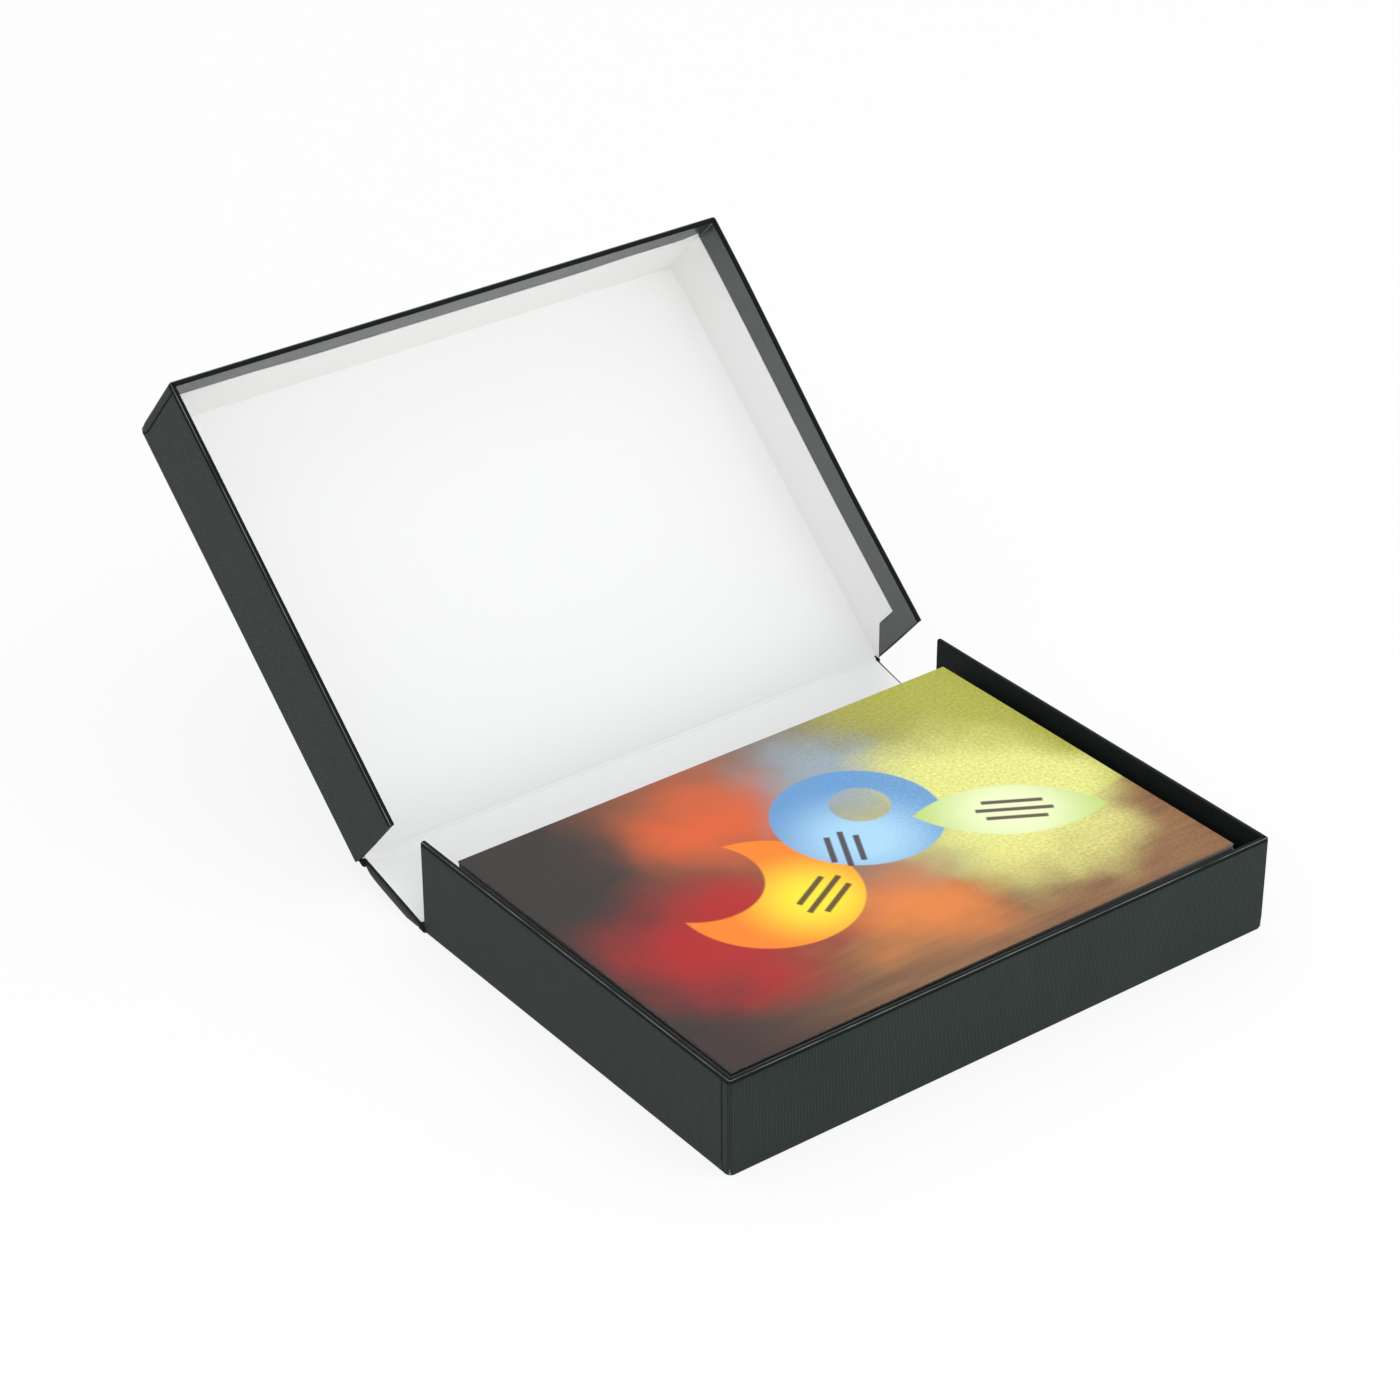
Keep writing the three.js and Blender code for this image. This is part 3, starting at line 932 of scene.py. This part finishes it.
SPINE_SIDE = TRAY_SIZE[0] / 2 + 0.4 * MM  # still between the lid's side walls when closed
SPINE_STEPS = 22
SPINE_FOLD = 0.45 * MM  # radius of the cloth's fold over the spine flap's ends
SPINE_RIPPLE = 0.12 * MM
SPINE_BOW = 3.6 * MM  # how far the spine's outer cloth sags below its board
SPINE_PULL = 0.25 * MM  # how far its ends draw in halfway
TABLE_GAP = 0.1 * MM  # the bowed cloth stops this far above the table


class PORTFOLIO_OT_spine_cloth(bpy.types.Operator):
    """Wraps the spine flap in cloth that bows off its board and folds over its ends"""
    bl_idname = "portfolio.spine_cloth"
    bl_label = "Spine cloth"

    def execute(self, context):
        sizes = context.scene.box_sizes
        side = SPINE_SIDE
        top = WALL - sizes.paper_thickness
        half = [(side - 9 * MM, top), (side - 4 * MM, top), (side - 1.6 * MM, top)]
        half += [(side - 1.1 * MM, WALL - 0.05 * MM)]
        half += [(side - SPINE_FOLD + SPINE_FOLD * math.sin(a),
                  WALL - 0.5 * MM + SPINE_FOLD * math.cos(a)) for a in (0.3, 0.8, 1.2, 1.57)]
        half += [(side, 1.9 * MM), (side, 1.2 * MM), (side - 0.1 * MM, 0.6 * MM)]
        half += [(side - 0.35 * MM, 0.15 * MM), (side - 0.9 * MM, 0.0)]
        half += [(u, 0.0) for u in spread(side - 0.9 * MM, 0.0, 8 * MM)]
        section = half + [(0.0, 0.0)] + [(-u, w) for u, w in reversed(half)]
        start, end = HINGE_ROOM, SPINE_LENGTH - HINGE_ROOM
        vertices, flat, shades = [], [], []
        for k in range(SPINE_STEPS + 1):
            t = k / SPINE_STEPS
            s = start + (end - start) * t
            length = 0.0
            for j, (u, w) in enumerate(section):
                if j:
                    length += math.dist(section[j - 1], (u, w))
                low = 1 - smoothstep(w, 0.0, 1.4 * MM)
                ripple = SPINE_RIPPLE * noise.noise(Vector((u * 16, s * 30, 4.0))) * low
                pull = SPINE_PULL * 4 * t * (1 - t) if abs(u) > side - 2 * MM else 0.0
                x = math.copysign(abs(u) - pull, u) if u else 0.0
                sag = SPINE_BOW * (0.25 * 4 * t * (1 - t) + 0.75 * (1 - (2 * t - 1) ** 8)) * low
                place = SPINE @ Vector((x, s, w - sag + ripple))
                place.z = max(place.z, TABLE_GAP)
                vertices.append(place)
                flat.append((length, s))
                # painted shade on the upper part of the cloth folded over the flap's ends
                outer = smoothstep(abs(u), side - 1.8 * MM, side - 0.9 * MM)
                shades.append(0.5 * outer * smoothstep(w, 1.2 * MM, 2.4 * MM))
        faces = grid_faces(SPINE_STEPS + 1, len(section))
        piece = new_piece("spine_cloth", vertices, faces, cloth_material(),
                          per_corner(faces, flat), {"shade": shades})
        turned_to(piece, len(section) // 2, -up_of(SPINE))
        thickened(piece, sizes.cloth_thickness)
        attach(piece, "spine")
        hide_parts("spine_cover")
        return {"FINISHED"}


# How far the hinges' cloth reaches past the spine flap's ends, by the body it leads to
HINGE_CLOTH_REACH = {"spine": 0.4 * MM, "lid": 1.6 * MM}
HINGE_SINK = 0.12  # share by which its lower face is drawn towards the axis
HINGE_PINCH = 0.25  # share by which its ends are pressed together
HINGE_SWELL = 0.30  # share by which it swells beside its ends
HINGE_WRINKLE = 0.05
HINGE_CLOTH_FLOOR = 0.05 * MM  # it stays this far above the table
HINGE_CLOTH_GAP = 0.02 * MM  # between the hinges' cloth and the faces above and below


class PORTFOLIO_OT_hinge_cloth(bpy.types.Operator):
    """Fills the two hinges with folded cloth"""
    bl_idname = "portfolio.hinge_cloth"
    bl_label = "Hinge cloth"

    def execute(self, context):
        sizes = context.scene.box_sizes
        low, high = HINGE_CLOTH_GAP, WALL - sizes.paper_thickness - HINGE_CLOTH_GAP
        spine_end = SPINE_LENGTH - HINGE_ROOM
        joints = (
            ("tray_hinge_cloth", "tray", "spine", HINGE_A,
             (at(TRAY, 0.6 * MM, low), at(TRAY, 0.6 * MM, high)),
             (at(SPINE, HINGE_ROOM, low), at(SPINE, HINGE_ROOM, high)), "tray_hinge_strip"),
            ("spine_hinge_cloth", "spine", "lid", HINGE_B,
             (at(SPINE, spine_end, low), at(SPINE, spine_end, high)),
             (at(LID, LID_START, low), at(LID, LID_START, high)), "spine_hinge_strip"),
        )
        for name, a, b, axis, near, far, node in joints:
            side = SPINE_SIDE + HINGE_CLOTH_REACH[b]
            under = bridged(near[0], near[0].lerp(far[0], 0.5).lerp(axis, HINGE_SINK), far[0])
            over = bridged(near[1], near[1].lerp(far[1], 0.5), far[1])
            ring = under + list(reversed(over))
            count = len(ring)
            ends = [k * MM for k in (0.0, 0.3, 0.8, 1.5, 2.4, 3.4)]
            columns = [side - k for k in ends]
            columns += spread(side - ends[-1], ends[-1] - side, COLUMN_STEP)
            columns += [k - side for k in reversed(ends)]
            middle = sum(ring, Vector()) / count
            vertices, flat, shades = [], [], []
            for u in columns:
                edge = side - abs(u)
                pinch = 1 - HINGE_PINCH * (1 - smoothstep(edge, -0.3 * MM, 0.9 * MM))
                pinch += HINGE_SWELL * math.exp(-((edge - 1.5 * MM) / (0.9 * MM)) ** 2)
                for j, place in enumerate(ring):
                    fold = 1 + HINGE_WRINKLE * math.sin(j * 1.9 + u * 190)
                    p = middle + (place - middle) * pinch * (fold if 0 < j < 10 else 1)
                    vertices.append(Vector((u, p.y, max(p.z, HINGE_CLOTH_FLOOR))))
                    flat.append((u, 0.3 * MM * j))
                    # painted shade over the hinge cloth, darkest near its ends
                    shades.append(0.7 if edge < 2.2 * MM else 0.2)
            faces = []
            for i in range(len(columns) - 1):
                for j in range(count):
                    k = (j + 1) % count
                    faces.append((i * count + j, i * count + k,
                                  (i + 1) * count + k, (i + 1) * count + j))
            faces.append(tuple(range(count)))
            faces.append(tuple(reversed(range((len(columns) - 1) * count, len(columns) * count))))
            piece = new_piece(name, vertices, faces, cloth_material(), per_corner(faces, flat),
                              {"shade": shades})
            as_closed(piece)
            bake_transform(piece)
            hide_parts(node)
        return {"FINISHED"}


CREASE_SHADE = (1.0, 0.6)  # painted shade in a pressed crease and on the paper beside it
CREASE_DEPTH = 0.25 * MM
SPINE_SHEET_START = 2.0 * MM  # the spine's lining starts this far from the tray's hinge
SPINE_SHEET_END = 2.4 * MM  # and starts to bend this far from the lid's hinge
TRAY_SHEET_END = 1.9 * MM  # the tray's lining ends this far onto the spine flap
SHEET_MARGIN = 1.2 * MM  # black cloth that shows beside the spine's lining
TUCK = 0.35 * MM  # the panels' sheets reach this far under the flaps' feet


class PORTFOLIO_OT_linings(bpy.types.Operator):
    """Lays the white lining over tray, spine and lid, bending at both hinges"""
    bl_idname = "portfolio.linings"
    bl_label = "Linings"

    def execute(self, context):
        sizes = context.scene.box_sizes
        paper = made_once("lining_paper", lining_nodes)
        tray_half = TRAY_SIZE[0] / 2 - WALL
        lid_half = LID_SIZE[0] / 2 - WALL + TUCK
        spine_half = SPINE_SIDE - SHEET_MARGIN
        top = WALL
        thick = sizes.paper_thickness

        # Tray panel and the strip over the tray's hinge
        path = []
        front = TRAY_SIZE[1] - WALL + TUCK
        for v in [front] + spread(front, 3 * MM, 9 * MM) + [3 * MM, 0.8 * MM, 0.0]:
            path.append((at(TRAY, v, top), tray_half, up_of(TRAY)))
        corner = Vector((0, HINGE_A.y - 0.2 * MM, top))
        bend = bridged(at(TRAY, 0.0, top), corner, at(SPINE, TRAY_SHEET_END, top))
        for place in bend[1:]:
            path.append((place, tray_half, up_of(SPINE)))
        lower = across_sheet("tray_lining_sheet", path, 48, paper, thick)
        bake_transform(lower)
        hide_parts("tray_lining")

        # Spine flap, the creased fold at the lid's hinge, and the lid panel
        path = []
        first, last = SPINE_SHEET_START, SPINE_LENGTH - SPINE_SHEET_END
        for s in [first] + spread(first, last, 4 * MM) + [last]:
            path.append((at(SPINE, s, top), spine_half, up_of(SPINE)))
        first = LID_START + 0.5 * MM
        meeting = HINGE_B + (up_of(SPINE) + up_of(LID)).normalized() * HALF_WALL * 1.02
        bend = bridged(at(SPINE, last, top), meeting, at(LID, first, top))
        # Painted shade along the two creases
        creases = {len(path) + k: CREASE_SHADE[abs(k - m)]
                   for m in (1, 7) for k in (m - 1, m, m + 1)}
        for k, place in enumerate(bend[1:], 1):
            share = smoothstep(k / 10, 0.35, 0.95)
            up = up_of(SPINE).lerp(up_of(LID), k / 10).normalized()
            crease = CREASE_DEPTH if k in (2, 8) else 0.0
            path.append((place - up * crease, spine_half + (lid_half - spine_half) * share, up))
        end = LID_SIZE[1] - WALL + TUCK
        for v in spread(first, end, 8 * MM) + [end]:
            path.append((at(LID, v, top), lid_half, up_of(LID)))
        upper = across_sheet("lid_lining_sheet", path, 56, paper, thick, creases=creases)
        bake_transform(upper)
        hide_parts("lid_lining", "spine_lining")
        lining_flaps("tray", TRAY, TRAY_SIZE, sizes)
        lining_flaps("lid", LID, LID_SIZE, sizes, sizes.lid_lean)
        return {"FINISHED"}


class PORTFOLIO_OT_boards(bpy.types.Operator):
    """Finishes the greyboards and leans the lid's right one with its cloth"""
    bl_idname = "portfolio.boards"
    bl_label = "Boards"

    def execute(self, context):
        sizes = context.scene.box_sizes
        grey = made_once("greyboard_pulp", board_nodes)
        for name, node in frame["nodes"].items():
            if name.endswith("_board"):
                node.data.materials.clear()
                node.data.materials.append(grey)
        low, high = box_in(LID, "lid_right_board")
        steps = 40
        vertices, faces = [], []
        for k in range(steps + 1):
            v = low.y + (high.y - low.y) * k / steps
            for u, w in ((low.x, low.z), (high.x, low.z), (high.x, high.z), (low.x, high.z)):
                lean = lean_at(sizes.lid_lean, v, w, LID_SIZE[1], LID_SIZE[2])
                vertices.append(LID @ Vector((u + lean, v, w)))
        for k in range(steps):
            for j in range(4):
                a, b = k * 4 + j, k * 4 + (j + 1) % 4
                faces.append((a, b, b + 4, a + 4))
        faces += [(0, 1, 2, 3), tuple(4 * steps + j for j in (3, 2, 1, 0))]
        piece = as_closed(new_piece("lid_right_board_leaning", vertices, faces, grey, smooth=False))
        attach(piece, "lid")
        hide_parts("lid_right_board")
        return {"FINISHED"}


SHEET_SHARE = 0.86  # a sheet's share of the pitch in the stack
SHEET_TURN = 0.0006  # largest turn of a sheet, radians
STACK_MARGIN = 0.8 * MM  # the stack's sheets are smaller than its CAD solid by this


class PORTFOLIO_OT_print_stack(bpy.types.Operator):
    """Piles up the sheets under the top print, each slightly out of line"""
    bl_idname = "portfolio.print_stack"
    bl_label = "Print stack"

    def execute(self, context):
        sizes = context.scene.box_sizes
        low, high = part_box("print_stack")
        tree = bpy.data.node_groups.new("sheet_pile", "GeometryNodeTree")
        face = tree.interface
        face.new_socket("Geometry", in_out="OUTPUT", socket_type="NodeSocketGeometry")
        wanted = (
            ("Width", "NodeSocketFloat", high.x - low.x - STACK_MARGIN),
            ("Depth", "NodeSocketFloat", high.y - low.y - STACK_MARGIN),
            ("Sheets", "NodeSocketInt", sizes.sheets),
            ("Height", "NodeSocketFloat", high.z - low.z),
            ("Stray", "NodeSocketFloat", sizes.sheet_stray),
            ("Foot", "NodeSocketVector", (0.0, (low.y + high.y) / 2, low.z)),
            ("Paper", "NodeSocketMaterial", made_once("print_paper_edges", stack_nodes)),
        )
        sockets = {}
        for name, kind, value in wanted:
            sockets[name] = face.new_socket(name, in_out="INPUT", socket_type=kind).identifier

        # One sheet, the line of places above each other, and each sheet's stray and turn
        n = Nodes(tree)
        given = n.add("NodeGroupInput").outputs
        pitch = n.math("DIVIDE", given["Height"], given["Sheets"])
        size = n.add("CombineXYZ", {0: given["Width"], 1: given["Depth"],
                                    2: n.times(pitch, SHEET_SHARE)})
        sheet = n.add("GeometryNodeMeshCube", {"Size": size.outputs[0]})
        step = n.add("CombineXYZ", {2: pitch}).outputs[0]
        start = n.vector_math("ADD", given["Foot"], n.stretched(step, 0.5)).outputs[0]
        line = n.add("GeometryNodeMeshLine", {"Count": given["Sheets"], "Start Location": start,
                                              "Offset": step}, mode="OFFSET")
        most = n.add("CombineXYZ", {0: given["Stray"], 1: given["Stray"]}).outputs[0]
        stray = n.add("FunctionNodeRandomValue", {0: n.stretched(most, -1.0), 1: most, "Seed": 7},
                      data_type="FLOAT_VECTOR")
        moved = n.add("GeometryNodeSetPosition",
                      {"Geometry": line.outputs[0], "Offset": stray.outputs[0]})
        turn = n.add("FunctionNodeRandomValue", {0: (0.0, 0.0, -SHEET_TURN),
                     1: (0.0, 0.0, SHEET_TURN), "Seed": 19}, data_type="FLOAT_VECTOR")
        placed = n.add("GeometryNodeInstanceOnPoints", {"Points": moved.outputs[0],
                       "Instance": sheet.outputs["Mesh"], "Rotation": turn.outputs[0]})
        real = n.add("GeometryNodeRealizeInstances", {0: placed.outputs[0]})
        finish = n.add("GeometryNodeSetMaterial",
                       {"Geometry": real.outputs[0], "Material": given["Paper"]})
        n.add("NodeGroupOutput", {0: finish.outputs[0]})

        mesh = bpy.data.meshes.new("print_sheets")
        piece = bpy.data.objects.new("print_sheets", mesh)
        bpy.context.scene.collection.objects.link(piece)
        modifier = piece.modifiers.new("pile", "NODES")
        modifier.node_group = tree
        for name, kind, value in wanted:
            modifier[sockets[name]] = value
        applied(piece)
        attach(piece, "tray")
        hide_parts("print_stack")
        return {"FINISHED"}


PRINT_THICKNESS = 0.2 * MM
PRINT_SWAY = 0.14 * MM  # how far the top print rises and dips
PRINT_TURN = math.radians(0.25)


class PORTFOLIO_OT_top_print(bpy.types.Operator):
    """Lays the picture on the stack, a thin sheet that isn't quite flat"""
    bl_idname = "portfolio.top_print"
    bl_label = "Top print"

    def execute(self, context):
        stack_low, stack_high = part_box("print_stack")
        low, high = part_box("top_print")
        wide, deep = stack_high.x - stack_low.x, stack_high.y - stack_low.y
        turn = Matrix.Rotation(PRINT_TURN, 4, "Z")
        middle = Matrix.Translation((0, (low.y + high.y) / 2, 0)) @ turn
        columns, rows = 54, 38
        vertices, faces, flat, on = [], [], [], []
        for layer in (0, 1):
            for i in range(columns + 1):
                for j in range(rows + 1):
                    x, y = wide * (i / columns - 0.5), deep * (j / rows - 0.5)
                    sway = noise.noise(Vector((x * 11, y * 11, 2.0))) * PRINT_SWAY
                    z = high.z - layer * PRINT_THICKNESS + sway
                    vertices.append(middle @ Vector((x, y, z)))
                    flat.append((wide * i / columns, deep * j / rows))
                    on.append(1.0 if layer == 0 else 0.0)
        count = (columns + 1) * (rows + 1)
        top = grid_faces(columns + 1, rows + 1)
        faces += top + [tuple(reversed([v + count for v in face])) for face in top]
        edge = [i * (rows + 1) for i in range(columns + 1)]
        edge += [columns * (rows + 1) + j for j in range(1, rows + 1)]
        edge += [i * (rows + 1) + rows for i in range(columns - 1, -1, -1)]
        edge += list(range(rows - 1, 0, -1))
        for k, a in enumerate(edge):
            b = edge[(k + 1) % len(edge)]
            faces.append((a, a + count, b + count, b))
        piece = new_piece("top_print_sheet", vertices, faces,
                          made_once("printed_picture", picture_nodes), per_corner(faces, flat),
                          {"face": on}, smooth=False)
        as_closed(piece)
        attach(piece, "tray")
        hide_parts("top_print")
        return {"FINISHED"}


def add_lamp(name, strength, place, target, size):
    data = bpy.data.lights.new(name, "AREA")
    data.energy = strength
    data.shape = "SQUARE"
    data.size = size
    lamp = bpy.data.objects.new(name, data)
    bpy.context.scene.collection.objects.link(lamp)
    lamp.location = place
    lamp.rotation_euler = (Vector(target) - Vector(place)).to_track_quat("-Z", "Y").to_euler()


def share_of_rays(n, *kinds):
    """One for rays of these kinds, nothing for all others"""
    path = n.add("LightPath")
    share = path.outputs[f"Is {kinds[0]} Ray"]
    for kind in kinds[1:]:
        share = n.math("ADD", share, path.outputs[f"Is {kind} Ray"], True)
    return share


FLOOR_REACH = 6.0
FLOOR_BELOW = 0.05 * MM  # the floor lies this far below the box, so no faces coincide
FLOOR_GLOW = 0.84  # share of plain white in the floor that the view sees


# Camera of the photo's view, solved from the corners of the box and the top print
CAMERA_LENS = 97.648
CAMERA_PLACE = (-0.951629, -1.155981, 1.007912)
CAMERA_AXES = (
    (0.798398, -0.602116, -0.004151),  # right
    (0.308442, 0.403051, 0.861634),  # up
    (-0.517130, -0.689207, 0.507513),  # back
)


class PORTFOLIO_OT_stage(bpy.types.Operator):
    """Sets up the pale floor, the soft light and the camera"""
    bl_idname = "portfolio.stage"
    bl_label = "Stage"

    def execute(self, context):
        scene = context.scene
        floor_mesh = bpy.data.meshes.new("floor")
        corners = [(x * FLOOR_REACH, y * FLOOR_REACH, -FLOOR_BELOW)
                   for x, y in ((-1, -1), (1, -1), (1, 1), (-1, 1))]
        floor_mesh.from_pydata(corners, [], [(0, 1, 2, 3)])
        floor = bpy.data.objects.new("floor", floor_mesh)
        scene.collection.objects.link(floor)
        material = bpy.data.materials.new("floor_white")
        material.use_nodes = True
        n = Nodes(material.node_tree)
        grain = n.noise(n.object_place(), 30.0, 2.0)
        plain = n.mix(grain, (0.93, 0.93, 0.93, 1), (0.95, 0.95, 0.95, 1))
        matt = n.add("BsdfDiffuse", {"Color": plain})
        white = n.add("Emission", {"Color": (1, 1, 1, 1), "Strength": 1.0})
        share = n.times(share_of_rays(n, "Camera", "Glossy", "Transmission"), FLOOR_GLOW)
        both = n.add("MixShader", {0: share, 1: matt.outputs[0], 2: white.outputs[0]})
        n.add("OutputMaterial", {"Surface": both.outputs[0]})
        floor_mesh.materials.append(material)

        world = bpy.data.worlds.new("studio")
        scene.world = world
        world.use_nodes = True
        n = Nodes(world.node_tree)
        soft = n.add("Background", {"Color": (0.97, 0.98, 1.0, 1.0), "Strength": 0.98})
        white = n.add("Background", {"Color": (1, 1, 1, 1), "Strength": 1.0})
        share = share_of_rays(n, "Camera", "Transmission")
        both = n.add("MixShader", {0: share, 1: soft.outputs[0], 2: white.outputs[0]})
        n.add("OutputWorld", {"Surface": both.outputs[0]})

        add_lamp("key", 2.8, (0.55, -0.75, 1.35), (0.0, 0.05, 0.05), 1.1)
        add_lamp("low_front", 5.4, (0.15, -1.35, 0.22), (0.0, 0.28, 0.14), 1.2)

        data = bpy.data.cameras.new("camera")
        data.lens, data.sensor_width = CAMERA_LENS, 36.0
        camera = bpy.data.objects.new("camera", data)
        scene.collection.objects.link(camera)
        turn = Matrix(CAMERA_AXES).transposed().to_4x4()
        camera.matrix_world = Matrix.Translation(CAMERA_PLACE) @ turn
        data.clip_start, data.clip_end = 0.05, 50.0
        scene.camera = camera
        scene.view_settings.view_transform = "Standard"
        return {"FINISHED"}


class PORTFOLIO_PT_panel(bpy.types.Panel):
    """Lists the pieces of the portfolio box"""
    bl_idname = "PORTFOLIO_PT_panel"
    bl_label = "Portfolio box"
    bl_space_type = "VIEW_3D"
    bl_region_type = "UI"
    bl_category = "Portfolio"

    def draw(self, context):
        for group in (context.scene.box_sizes, context.scene.box_colours):
            column = self.layout.column()
            for key in group.__annotations__:
                column.prop(group, key)
        for operator in OPERATORS:
            self.layout.operator(operator.bl_idname)


OPERATORS = (
    PORTFOLIO_OT_boards,
    PORTFOLIO_OT_tray_cloth,
    PORTFOLIO_OT_lid_cloth,
    PORTFOLIO_OT_spine_cloth,
    PORTFOLIO_OT_hinge_cloth,
    PORTFOLIO_OT_linings,
    PORTFOLIO_OT_print_stack,
    PORTFOLIO_OT_top_print,
    PORTFOLIO_OT_stage,
)
CLASSES = (BoxSizes, BoxColours, *OPERATORS, PORTFOLIO_PT_panel)


def register():
    for item in CLASSES:
        bpy.utils.register_class(item)
    bpy.types.Scene.box_sizes = PointerProperty(type=BoxSizes)
    bpy.types.Scene.box_colours = PointerProperty(type=BoxColours)


def unregister():
    del bpy.types.Scene.box_colours
    del bpy.types.Scene.box_sizes
    for item in reversed(CLASSES):
        bpy.utils.unregister_class(item)


def main():
    register()
    bpy.ops.portfolio.boards()
    bpy.ops.portfolio.tray_cloth()
    bpy.ops.portfolio.lid_cloth()
    bpy.ops.portfolio.spine_cloth()
    bpy.ops.portfolio.hinge_cloth()
    bpy.ops.portfolio.linings()
    bpy.ops.portfolio.print_stack()
    bpy.ops.portfolio.top_print()
    bpy.ops.portfolio.stage()


if __name__ == "__main__":
    main()
